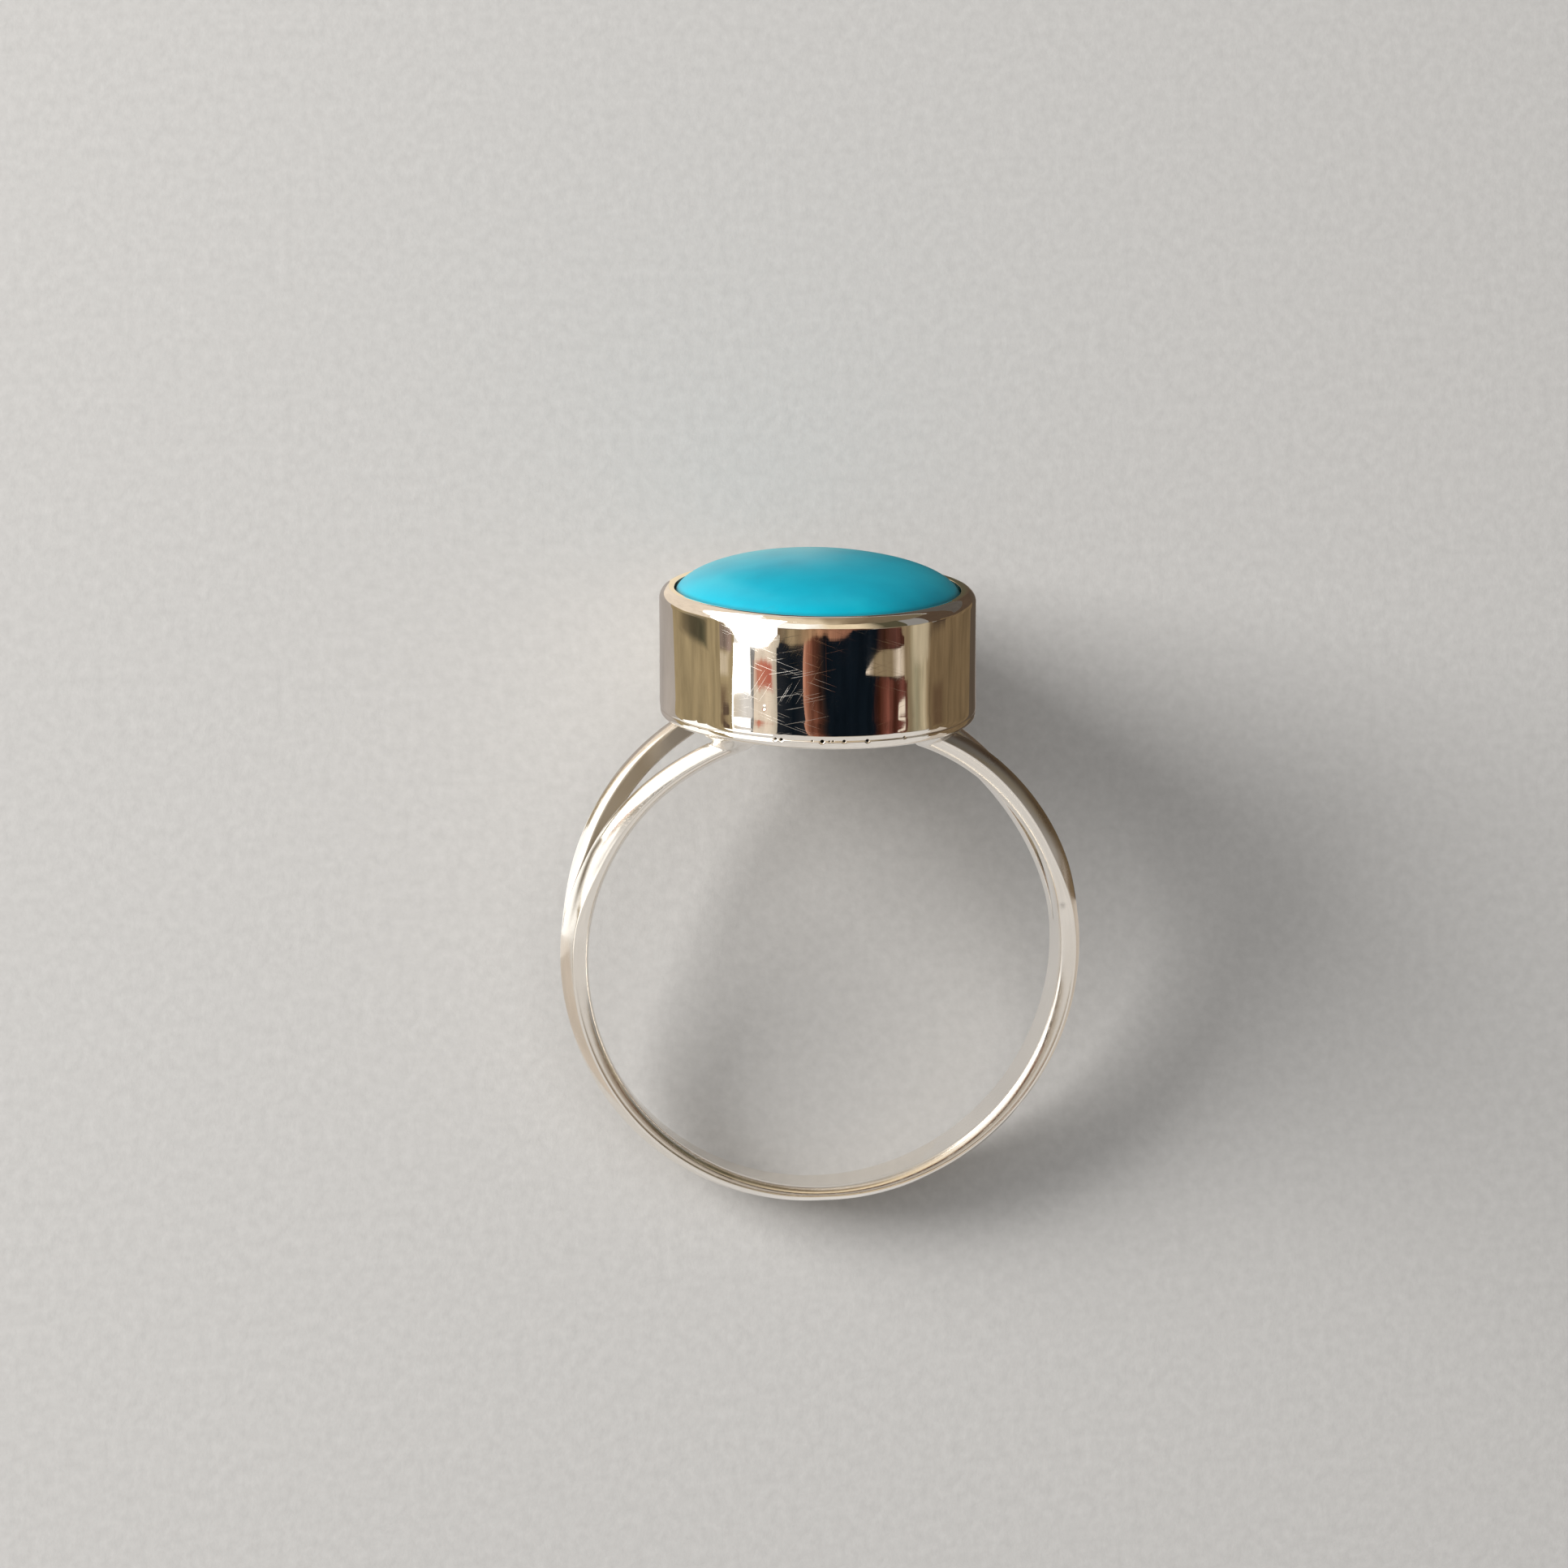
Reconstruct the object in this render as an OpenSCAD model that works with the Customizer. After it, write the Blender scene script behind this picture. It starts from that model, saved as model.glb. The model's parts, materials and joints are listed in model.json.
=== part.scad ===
// Ring with an oval turquoise in a tall plain bezel, on a band that splits in two at each shoulder.
// It is drawn as worn, with the stone up and the finger along Y, and then laid on its side.

/* [Finger] */
// Inner diameter of the band
bore_d = 16.9; // [15:0.1:20]

/* [Band] */
// Width of the band below the split, along the finger
band_w = 2.3; // [1.8:0.05:3]
// Thickness at the sides, from the bore to the crown
band_t = 0.88; // [0.7:0.02:1.2]
// Thickness at the bottom, worn thinner
band_bottom_t = 0.66; // [0.5:0.02:1]
// Height of the round crown above the edges of the band
crown_h = 0.3; // [0.15:0.05:0.5]
// Height of the crown on a prong, which is filed rounder
prong_crown_h = 0.38; // [0.2:0.02:0.44]

/* [Split shoulders] */
// Angle from the top at which the saw cut ends
split_angle = 85; // [75:1:88]
// Distance from the middle to each prong where it meets the plate
prong_spread = 3.8; // [2.6:0.1:4]
// Thickness of a left prong at its top end
prong_t = 0.7; // [0.55:0.05:0.85]
// How much thicker the right prongs are
right_extra = 0.05; // [0:0.05:0.3]
// Angle by which each prong twists, so that its sawn edge stands up
prong_twist = 8; // [0:1:15]
// How far a prong's sawn edge is filed down from its crown
edge_drop = 0.22; // [0:0.02:0.28]
// How far both shoulders lean to the left at the top
shoulder_lean = 0.2; // [0:0.02:0.4]
// Spread of the solder round each prong's end
solder = 0.22; // [0.1:0.02:0.3]

/* [Bezel] */
// Width of the bezel, across the finger
bezel_w = 11.1; // [10:0.1:12]
// Length of the bezel, along the finger
bezel_l = 14.9; // [14:0.1:16]
// Height from the plate's underside to the rim
bezel_h = 4.58; // [3.5:0.02:6]
// Thickness of the plate under the stone
plate_t = 0.55; // [0.4:0.05:0.8]
// Thickness of the bezel wall
wall_t = 0.45; // [0.4:0.05:0.6]
// Width of the rim seen from above, where the wall is pressed in over the stone
rim_w = 0.54; // [0.5:0.02:0.7]
// How far the bezel sits to the left of the middle
bezel_shift = 0.12; // [0:0.02:0.3]

/* [Stone] */
// Rise of the dome above the rim
dome_h = 1.14; // [0.8:0.02:2]

/* [Hidden] */
bore_r = bore_d / 2;

// Clearance between the stone and the metal
stone_gap = 0.04;

// The plate just touches the top of the bore.
plate_z = bore_r;
seat_z = plate_z + plate_t;
rim_z = plate_z + bezel_h;

// The bezel's outline is an oval of four arcs: two at the ends, two along the sides.
oval_a = bezel_w / 2;
oval_b = bezel_l / 2;
end_share = 0.79;
end_r = end_share * oval_a;
end_y = oval_b - end_r;
side_r = (oval_a * oval_a + oval_b * oval_b - 2 * oval_b * end_r) / (2 * (oval_a - end_r));
side_x = side_r - oval_a;
join_angle = atan2(end_y, side_x);
arc_steps = 16;

// Wall section
bottom_round = 0.25;
rim_round = 0.38;
lip_round = 0.06;
lip_drop = 0.18;
lip_length = 0.4;
seam_depth = 0.06;
seam_half = 0.08;
round_steps = 4;

// Stone profile
girdle_inset = wall_t + stone_gap;
girdle_z = rim_z - lip_drop - lip_length;
dome_power = 0.42;
dome_rings = 12;

// Shank sections, counted from one prong's end to the other
prong_steps = 22;
end_steps = 6;
band_steps = 32;
crown_steps = 7;
crown_middle = 0.42;
edge_round = 0.08;
flare_blend = 0.08;
lean_reach = 0.55;
twist_reach = 0.4;
file_reach = 0.25;
inner_end_angle = 22;
outer_end_angle = 28;
inner_end_x = 2.75;
outer_end_x = 4.4;
outer_curl = 0.28;
sink = 0.3;
half_w = band_w / 2;

function lerp(a, b, t) = a + (b - a) * t;
function smooth(t) = t * t * (3 - 2 * t);
function bezier(p, q, r, t) = lerp(lerp(p, q, t), lerp(q, r, t), t);
function polar(r, angle) = [r * sin(angle), r * cos(angle)];

// Shank: u runs from 0 at the saw cut's end to 1 at the prong's end inside the plate.
body_end = (prong_steps - end_steps) / prong_steps;
function along(u) = min(u / body_end, 1);
function into_end(u) = max((u - body_end) / (1 - body_end), 0);
function prong_depth(u, side) =
    lerp(band_t, prong_t, along(u)) + (side > 0 ? right_extra * smooth(along(u)) : 0);
function inner_point(u) =
    let (angle = lerp(split_angle, inner_end_angle, along(u)),
         start = polar(bore_r, angle),
         corner = start + [-(start.x - inner_end_x), (start.x - inner_end_x) * tan(angle)])
    u <= body_end ? start : bezier(start, corner, [inner_end_x, plate_z + sink], into_end(u));
function outer_point(u, side) =
    let (angle = lerp(split_angle, outer_end_angle, along(u)),
         start = polar(bore_r + prong_depth(u, side), angle),
         corner = start + outer_curl * [-cos(angle), sin(angle)])
    u <= body_end ? start : bezier(start, corner, [outer_end_x, plate_z + sink], into_end(u));
function flare(u) = (sqrt(u * u + flare_blend * flare_blend) - flare_blend)
    / (sqrt(1 + flare_blend * flare_blend) - flare_blend);

// One half of the band's section, from the middle of the bore round to the crown, as [share of the depth, distance
// from the middle].
// The crown of the whole band is highest in its middle. A prong's crown is highest near its own middle, because the
// sawn edge is filed down. The bore's edge is chamfered.
function crown(across, filed, rise) =
    let (middle = crown_middle * filed)
    across >= middle ? sqrt(1 - pow((across - middle) / (1 - middle), 2))
    : 1 - filed * edge_drop / rise * pow((middle - across) / middle, 2);
function half_section(inner, outer, gap, width, filed) =
    let (depth = norm(outer - inner), rise = lerp(crown_h, prong_crown_h, filed), low = 1 - rise / depth)
    concat(
        [[0, gap], [0, gap + width - edge_round], [edge_round / depth, gap + width]],
        [for (i = [0:crown_steps])
            let (across = cos(90 * i / crown_steps))
            [low + (1 - low) * crown(across, filed, rise), gap + width * across]]);
function section_points(inner, outer, gap, width, filed, lean, twist, side, front) =
    let (depth = norm(outer - inner))
    [for (p = half_section(inner, outer, gap, width, filed))
        let (lift = (gap + width / 2 - p[1]) * sin(twist), q = lerp(inner, outer, p[0] + lift / depth))
        [side * q.x - lean, -front * p[1], q.y]];
function reach(u, end) = smooth(min(u / end, 1));
function prong_section(u, side, front) =
    let (grow = solder * into_end(u) * into_end(u))
    section_points(inner_point(u), outer_point(u, side), prong_spread * flare(u) - grow, half_w + 2 * grow,
        reach(u, file_reach), shoulder_lean * reach(u, lean_reach), prong_twist * reach(u, twist_reach), side, front);
function band_depth(angle) = lerp(band_t, band_bottom_t, 1 - abs(sin(angle)));
function band_section(angle, front) =
    section_points(polar(bore_r, angle), polar(bore_r + band_depth(angle), angle), 0, half_w, 0, 0, 0, 1, front);

// One rail, from the left prong's end, round under the finger, to the right prong's end
left_cut = prong_steps;
right_cut = prong_steps + band_steps;
last = 2 * prong_steps + band_steps;
function rail_section(i, front) =
    i <= left_cut ? prong_section(1 - i / prong_steps, -1, front)
    : i >= right_cut ? prong_section((i - right_cut) / prong_steps, 1, front)
    : band_section(lerp(360 - split_angle, split_angle, (i - left_cut) / band_steps), front);
per_section = crown_steps + 4;
rail_points = [for (i = [0:last], p = rail_section(i, 1)) p];
back_points = [for (i = [0:last], p = rail_section(i, -1)) p];
shank_points = concat(rail_points, back_points);

// The two rails share their middle lines where the band isn't cut.
function shared(i, j) = i >= left_cut && i <= right_cut && (j == 0 || j == per_section - 1);
function at(rail, i, j) = (rail == 1 && !shared(i, j) ? len(rail_points) : 0) + i * per_section + j;
function quad(rail, i, j, k) =
    let (a = at(rail, i, j), b = at(rail, i, k), c = at(rail, i + 1, k), d = at(rail, i + 1, j))
    rail == 0 ? [[c, b, a], [d, c, a]] : [[a, b, c], [a, c, d]];
function cap(rail, i, flip) =
    [for (j = [1:per_section - 2])
        flip == (rail == 0) ? [at(rail, i, 0), at(rail, i, j + 1), at(rail, i, j)]
        : [at(rail, i, 0), at(rail, i, j), at(rail, i, j + 1)]];
shank_faces = [for (rail = [0, 1], f = concat(
    [for (i = [0:last - 1], j = [0:per_section - 2], t = quad(rail, i, j, j + 1)) t],
    [for (i = [0:last - 1], t = i < left_cut || i >= right_cut ? quad(rail, i, per_section - 1, 0) : []) t],
    cap(rail, 0, false), cap(rail, last, true))) f];

// Oval outlines, drawn in by an inset that is the same all round
function arc(centre, r, from, to) =
    [for (i = [0:arc_steps - 1])
        let (angle = lerp(from, to, i / arc_steps))
        centre + r * [cos(angle), sin(angle)]];
function oval(inset) = concat(
    arc([-side_x, 0], side_r - inset, -join_angle, join_angle),
    arc([0, end_y], end_r - inset, join_angle, 180 - join_angle),
    arc([side_x, 0], side_r - inset, 180 - join_angle, 180 + join_angle),
    arc([0, -end_y], end_r - inset, 180 + join_angle, 360 - join_angle));

// Bezel: the section goes from the plate's underside up the wall's outside, over the rim and down inside to the seat,
// as [inset, z], and each of its points is a ring of the oval.
bezel_section = concat(
    [for (i = [0:round_steps])
        let (angle = 90 * i / round_steps)
        [bottom_round * (1 - sin(angle)), plate_z + bottom_round * (1 - cos(angle))]],
    [[0, seat_z - seam_half], [seam_depth, seat_z], [0, seat_z + seam_half]],
    [for (i = [0:round_steps])
        let (angle = 90 * i / round_steps)
        [rim_round * (1 - cos(angle)), rim_z - rim_round * (1 - sin(angle))]],
    [[rim_w - lip_round, rim_z], [rim_w, rim_z - lip_round], [rim_w, rim_z - lip_drop],
     [wall_t, girdle_z], [wall_t, seat_z]]);
around = 4 * arc_steps;
rings = len(bezel_section);
bezel_points = [for (s = bezel_section, p = oval(s[0])) [p.x - bezel_shift, p.y, s[1]]];
function ring_quads(count) =
    [for (k = [0:count - 2], i = [0:around - 1])
        let (j = (i + 1) % around, a = k * around)
        [a + i, a + around + i, a + around + j, a + j]];
bezel_faces = concat(
    [[for (i = [0:around - 1]) i]],
    ring_quads(rings),
    [[for (i = [around - 1:-1:0]) (rings - 1) * around + i]]);

// Stone: flat underside, straight girdle, then rings that shrink and rise to the top of the dome
girdle = oval(girdle_inset);
dome_rise = rim_z + dome_h - girdle_z;
function dome_ring(k) =
    let (size = cos(90 * k / dome_rings), z = girdle_z + dome_rise * pow(1 - size * size, dome_power))
    [for (p = girdle) [p.x * size, p.y * size, z]];
stone_points = concat(
    [for (p = girdle) [p.x, p.y, seat_z + stone_gap]],
    [for (k = [0:dome_rings - 1], p = dome_ring(k)) p],
    [[0, 0, rim_z + dome_h]]);
top_point = len(stone_points) - 1;
stone_faces = concat(
    [[for (i = [0:around - 1]) i]],
    ring_quads(dome_rings + 1),
    [for (i = [0:around - 1]) [dome_rings * around + (i + 1) % around, dome_rings * around + i, top_point]]);

// Laid on its side, the ring touches the floor at the bezel's back edge and the bottom of the band.
heel_y = oval_b - bottom_round;
heel_z = plate_z + bottom_round;
toe_y = half_w;
toe_z = -(bore_r + band_bottom_t - crown_h);
heel_reach = norm([heel_y - toe_y, heel_z - toe_z]);
tilt = atan2(heel_y - toe_y, heel_z - toe_z) + asin(bottom_round / heel_reach);
function laid(p) = [p.x, p.y * sin(tilt) + p.z * cos(tilt), p.z * sin(tilt) - p.y * cos(tilt)];
rim_centre = laid([0, oval_b - rim_round, rim_z - rim_round]);
laid_points = [for (p = concat(shank_points, stone_points)) laid(p)];
low_y = min([for (p = laid_points) p.y]);
high_y = max(max([for (p = laid_points) p.y]), rim_centre.y + rim_round);
floor_z = laid([0, toe_y, toe_z]).z;

module lay_down() {
    translate([0, -(low_y + high_y) / 2, -floor_z]) rotate([tilt - 90, 0, 0]) children();
}

module silver_mount() {
    color("silver") lay_down() {
        polyhedron(bezel_points, bezel_faces);
        polyhedron(shank_points, shank_faces);
    }
}

module stone() {
    color("darkturquoise") lay_down() translate([-bezel_shift, 0, 0]) polyhedron(stone_points, stone_faces);
}

silver_mount();
stone();
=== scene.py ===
# %% [markdown]
# A turquoise ring on its side
#
# The ring is soldered silver round one low oval turquoise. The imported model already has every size, so this
# lesson builds finer surfaces over the same numbers: a burnished bezel cup, a band that is sawn in two at
# each shoulder, and a polished cabochon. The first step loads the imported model, which stays where it is.

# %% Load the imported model
import json
import math

import bmesh
import bpy
import numpy as np
from mathutils import Matrix, Vector


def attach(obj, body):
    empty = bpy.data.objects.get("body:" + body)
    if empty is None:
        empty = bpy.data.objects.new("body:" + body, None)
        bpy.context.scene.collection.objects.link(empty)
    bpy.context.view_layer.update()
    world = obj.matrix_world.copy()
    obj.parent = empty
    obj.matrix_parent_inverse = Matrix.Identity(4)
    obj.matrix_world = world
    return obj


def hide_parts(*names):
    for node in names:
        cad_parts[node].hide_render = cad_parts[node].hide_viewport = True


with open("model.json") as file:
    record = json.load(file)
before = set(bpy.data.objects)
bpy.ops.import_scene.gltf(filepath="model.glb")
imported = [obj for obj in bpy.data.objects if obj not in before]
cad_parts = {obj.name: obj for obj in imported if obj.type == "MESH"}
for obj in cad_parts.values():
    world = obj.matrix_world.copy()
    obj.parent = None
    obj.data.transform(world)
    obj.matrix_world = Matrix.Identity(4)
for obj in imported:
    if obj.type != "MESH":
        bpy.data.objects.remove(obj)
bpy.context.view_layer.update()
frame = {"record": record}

# %% [markdown]
# Directions of the ring
#
# A jeweller thinks of a ring as worn: right, front along the finger, and up to the stone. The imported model
# lies on its side, so each point is worked out in millimetres as worn and then laid down. The record's
# finger seat gives the middle of the bore and the finger's axis, so nothing has to be fitted by hand.

# %% From worn to lying
seat = frame["record"]["mounts"][0]
centre = np.array(seat["pos_m"]) * 1000
front = np.array(seat["axis"]) / np.linalg.norm(seat["axis"])
right = np.array([1.0, 0.0, 0.0])
up = np.array([0.0, front[2], -front[1]])
axes = np.stack([right, front, up])


def lay_down(points):
    """Worn (right, front, up) in mm becomes centre + right, front and up times their directions, in
    metres."""
    return (np.asarray(points, float) @ axes + centre) / 1000


print("the finger's axis leans", round(math.degrees(math.acos(front[2])), 2), "degrees from the vertical")

# %% [markdown]
# A mesh from rings of points
#
# Every surface here is a grid: rings of points along a path, or rings of an oval that shrink to a pole.
# Helpers number its faces, close its poles and turn it into an object. The last one looks at the volume that
# the faces enclose, to see that they point out.

# %% Blending numbers
def mix(a, b, t):
    """a + (b - a) t"""
    return a + (b - a) * t


def ease(t):
    """3 t^2 - 2 t^3, with t held between 0 and 1."""
    t = np.clip(t, 0, 1)
    return t * t * (3 - 2 * t)


print("halfway is", mix(0, 1, 0.5), "and a quarter of the way eases to", ease(0.25))


# %% Grids of points
def grid_faces(rows, columns, closed=True):
    """Quads of a grid of rows by columns, where point (i, j) has number i * columns + j. Closed joins the
    last column to the first."""
    i, j = np.meshgrid(np.arange(rows - 1), np.arange(columns if closed else columns - 1), indexing="ij")
    k = (j + 1) % columns
    corners = [i * columns + j, i * columns + k, (i + 1) * columns + k, (i + 1) * columns + j]
    return np.stack(corners, -1).reshape(-1, 4)


def flat_rings(edge, level, shares):
    """Rings on a flat face at a level: the outline of its edge times each share."""
    return np.stack([np.concatenate([edge * k, np.full((len(edge), 1), level)], -1) for k in shares])


def closed_at_poles(rings, poles):
    """Points and faces of a stack of rings. Triangles join the first ring to the first pole and the last
    ring to the last pole."""
    rows, columns = rings.shape[:2]
    here = np.arange(columns)
    after = (here + 1) % columns
    first, last, last_ring = rows * columns, rows * columns + 1, (rows - 1) * columns
    caps = np.concatenate([np.stack([np.full(columns, first), after, here], -1),
                           np.stack([np.full(columns, last), last_ring + here, last_ring + after], -1)])
    return np.concatenate([rings.reshape(-1, 3), poles]), [grid_faces(rows, columns), caps]


print("a grid of 3 rows and 4 columns has", len(grid_faces(3, 4)), "faces")


# %% Making an object
def enclosed(points, faces):
    """Volume: the sum over the faces of corner . (edge x edge) / 6, positive where they point outwards."""
    total = 0.0
    for face in faces:
        a = points[face[:, 0]]
        for k in range(1, face.shape[1] - 1):
            total += np.einsum("ij,ij->", a, np.cross(points[face[:, k]], points[face[:, k + 1]])) / 6
    return total


def make_piece(name, points, faces, attributes=()):
    """An object of worn points in mm, laid down in metres, smooth, with its faces turned outwards. Each
    point also keeps its worn place as an attribute, for patterns that follow the ring and not the floor."""
    places = lay_down(points)
    attributes = [("worn", np.asarray(points, float)), *attributes]
    faces = [f if enclosed(places, faces) > 0 else f[:, ::-1] for f in faces]
    mesh = bpy.data.meshes.new(name)
    mesh.from_pydata(places.tolist(), [], [row for f in faces for row in f.tolist()])
    for label, values in attributes:
        kind = "FLOAT_VECTOR" if values.ndim == 2 else "FLOAT"
        layer = mesh.attributes.new(label, kind, "POINT")
        layer.data.foreach_set("vector" if values.ndim == 2 else "value", values.astype(np.float32).ravel())
    mesh.shade_smooth()
    piece = bpy.data.objects.new(name, mesh)
    bpy.context.scene.collection.objects.link(piece)
    print(name, "has", len(mesh.vertices), "points and", len(mesh.polygons), "faces")
    return piece


# %% [markdown]
# The oval
#
# A bezel is bent round its stone, so its outline has no corner and its bend changes slowly. Four arcs would
# do for a drawing, but polished silver shows each place where one arc meets the next. This oval is given by
# the distance from the middle to its tangent, a sum of four cosines, so any line inside it at an even
# distance is only a subtraction. The four are fitted to the oval's half width and half length, and to the
# radius of its bend there.

# %% Oval outline
OVAL_A, OVAL_B = 5.55, 7.45
SIDE_R, END_R = 9.0, 4.38
half_sum, half_difference = (OVAL_A + OVAL_B) / 2, (OVAL_A - OVAL_B) / 2
C4 = (half_sum - (SIDE_R + END_R) / 2) / 16
C6 = (-6 * half_difference - (SIDE_R - END_R)) / 64
C0, C2 = half_sum - C4, half_difference - C6


def oval(angle, inset=0.0):
    """Tangent distance h = C0 + C2 cos 2a + C4 cos 4a + C6 cos 6a - inset; the point is h n + h' t, where n
    is the outward direction at angle a and t is a quarter turn on from it."""
    h = C0 + C2 * np.cos(2 * angle) + C4 * np.cos(4 * angle) + C6 * np.cos(6 * angle) - inset
    slope = -2 * C2 * np.sin(2 * angle) - 4 * C4 * np.sin(4 * angle) - 6 * C6 * np.sin(6 * angle)
    along, aside = np.cos(angle), np.sin(angle)
    return np.stack([h * along - slope * aside, h * aside + slope * along], -1)


def oval_bend(angle):
    """Radius of the oval's bend, h + h'', in mm."""
    return C0 - 3 * C2 * np.cos(2 * angle) - 15 * C4 * np.cos(4 * angle) - 35 * C6 * np.cos(6 * angle)


ends = oval(np.radians([0, 90]))
print("oval reaches", ends[0, 0].round(3), "to the side and", ends[1, 1].round(3), "to the front")

# %% [markdown]
# The bezel cup
#
# The cup is a strip of silver soldered to a flat plate, with its rim pushed in over the stone. Its section
# is drawn once, from under the plate up the wall and over the rim, and carried round the oval. The hand
# shows in it: the wall isn't dead flat, the rim has the small flats that the burnisher leaves, and the
# solder line has pits. It is also soldered on a little to the left of the bore's middle.

# %% Heights and widths of the cup
BORE_R = 8.45
SEAM_H, PLATE_T, CUP_H = 0.31, 0.55, 4.58
PLATE_Z, SEAM_Z, SEAT_Z, RIM_Z = BORE_R, BORE_R + SEAM_H, BORE_R + PLATE_T, BORE_R + CUP_H
RIM_W, ROUND_IN, WALL_T = 0.54, 0.4, 0.45
BEZEL_SHIFT = -0.12
print("the rim is", round(RIM_Z, 2), "mm above the middle of the bore")


# %% Section of the cup
def curve_part(start, end, bulge, steps):
    """Quarter of an ellipse from start to end. It leaves along the inset where bulge is 0, upwards where it
    is 1."""
    t = np.linspace(0, math.pi / 2, steps)
    rise, run = (1 - np.cos(t), np.sin(t)) if bulge == 0 else (np.sin(t), 1 - np.cos(t))
    return np.stack([start[0] + (end[0] - start[0]) * run, start[1] + (end[1] - start[1]) * rise], -1)


# Each point is (inset from the drawn oval, height), from under the plate to the seat inside.
corner = curve_part((0.26, PLATE_Z), (0.034, PLATE_Z + 0.22), 0, 14)
plate_edge = np.linspace((0.033, PLATE_Z + 0.23), (0.032, SEAM_Z - 0.045), 4)
into_seam = curve_part((0.032, SEAM_Z - 0.04), (0.06, SEAM_Z), 1, 8)
out_of_seam = curve_part((0.058, SEAM_Z + 0.004), (0.012, SEAM_Z + 0.17), 0, 12)
wall = np.linspace((0.012, SEAM_Z + 0.19), (0.012, RIM_Z - 0.44), 55)
over_rim = curve_part((0.012, RIM_Z - 0.42), (ROUND_IN, RIM_Z), 1, 22)
rim_top = np.linspace((ROUND_IN + 0.015, RIM_Z), (RIM_W - 0.05, RIM_Z - 0.006), 5)
rim_edge = curve_part((RIM_W - 0.045, RIM_Z - 0.006), (RIM_W, RIM_Z - 0.055), 0, 8)
lip = np.linspace((RIM_W, RIM_Z - 0.07), (RIM_W, RIM_Z - 0.2), 4)
inner_wall = np.linspace((WALL_T, RIM_Z - 0.6), (WALL_T, SEAT_Z), 2)
section = np.concatenate([corner, plate_edge, into_seam, out_of_seam, wall, over_rim, rim_top, rim_edge, lip,
                          inner_wall])
print("cup's section has", len(section), "points")

# %% Angles round the oval, closest together at the front
AROUND, CROWDING = 720, 0.62
even = np.linspace(0, 2 * math.pi, AROUND, endpoint=False)
angles = even + CROWDING * np.cos(even)
spacing = np.linalg.norm(np.diff(oval(angles), axis=0), axis=1)
print("points along the wall are", spacing.min().round(3), "to", spacing.max().round(3), "mm apart")

# %% [markdown]
# Marks of the hand
#
# Two sums of slow waves stand for the wall's unevenness and for the burnisher's flats. They only go inwards,
# so the cup stays inside its drawn size. A pit is a small round dip: its depth is a bell curve of the
# distance.

# %% Waves and flats
WALL_WAVE, RIM_FLAT = 0.012, 0.014


def wall_waves(angle, height):
    """Slow waves round the cup whose phase drifts with height, from 0 to 1."""
    waves = (np.sin(7 * angle + 0.5 * height) + 0.8 * np.sin(11 * angle - 0.8 * height + 1.3)
             + 0.6 * np.sin(4 * angle + 1.7 * height + 0.4) + 0.35 * np.sin(23 * angle + 0.9 * height))
    return 0.5 + waves / 5.5


def rim_flats(angle):
    """Unequal flats of the burnisher round the rim, from 0 to 1."""
    return 0.5 + (np.sin(31 * angle + 2 * np.sin(3 * angle)) + 0.7 * np.sin(19 * angle + 1)) / 3.4


sample = wall_waves(angles, 11.0)
print("wall waves run from", sample.min().round(2), "to", sample.max().round(2))

# %% Pits, each by its degrees from the right, height, radius and depth
PITS = [(126.9, 8.77, 0.042, 0.08), (124.3, 8.76, 0.045, 0.09), (104.1, 8.75, 0.05, 0.1),
        (93.8, 8.76, 0.04, 0.08), (83.0, 8.75, 0.045, 0.09), (62.9, 8.77, 0.035, 0.06),
        (109.0, 8.77, 0.026, 0.05), (98.9, 8.77, 0.026, 0.05), (100.6, 8.76, 0.025, 0.05),
        (131.3, 9.83, 0.03, 0.03), (248.0, 8.77, 0.045, 0.08), (281.0, 8.75, 0.05, 0.1)]
PIT_FULL_DARK, PIT_LEAST, PIT_SOFT = 0.06, 0.25, 0.35


def pit_depth(angle, along, height):
    """Sum over the pits of depth times exp(-(distance / radius)^2), in mm."""
    depth = np.zeros(np.broadcast(angle, height).shape)
    for degrees, level, radius, deep in PITS:
        turn = np.radians(degrees)
        sideways = (angle - turn + math.pi) % (2 * math.pi) - math.pi
        distance = (sideways * along) ** 2 + (height - level) ** 2
        depth += deep * np.exp(-distance / radius ** 2)
    return depth


print(len(PITS), "pits")

# %% Build the cup
OUTSIDE, WAVE_RISE, FLAT_START, FLAT_RISE = 0.3, 0.4, 0.35, 0.2
inset, height = section[:, :1], section[:, 1:]
pits = pit_depth(angles, oval_bend(angles), height) * (inset < OUTSIDE)
on_wall = np.clip((height - SEAT_Z) / WAVE_RISE, 0, 1) * (inset < ROUND_IN)
on_rim = np.clip((height - RIM_Z + FLAT_START) / FLAT_RISE, 0, 1) * (inset < RIM_W)
dents = WALL_WAVE * wall_waves(angles, height) * on_wall + RIM_FLAT * rim_flats(angles) * on_rim + pits
outline = oval(angles[None, :], inset + dents)
walls = np.concatenate([outline, np.broadcast_to(height, outline.shape[:2])[..., None]], -1)
flat_below = flat_rings(oval(angles, section[0, 0]), PLATE_Z, (0.02, 0.5, 0.96))
flat_inside = flat_rings(oval(angles, WALL_T), SEAT_Z, (0.5,))
cup = np.concatenate([flat_below, walls, flat_inside])
cup_points, cup_faces = closed_at_poles(cup, [[0, 0, PLATE_Z], [0, 0, SEAT_Z]])
cup_points = cup_points + [BEZEL_SHIFT, 0, 0]
pit_dark = np.zeros(cup.shape[:2])
pit_dark[len(flat_below):-len(flat_inside)] = ease((pits / PIT_FULL_DARK - PIT_LEAST) / PIT_SOFT)
bezel = make_piece("bezel", cup_points, cup_faces,
                   [("pit", np.append(pit_dark.ravel(), [0, 0])), ("tarnish_and_shade", np.zeros(len(cup_points)))])

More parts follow.
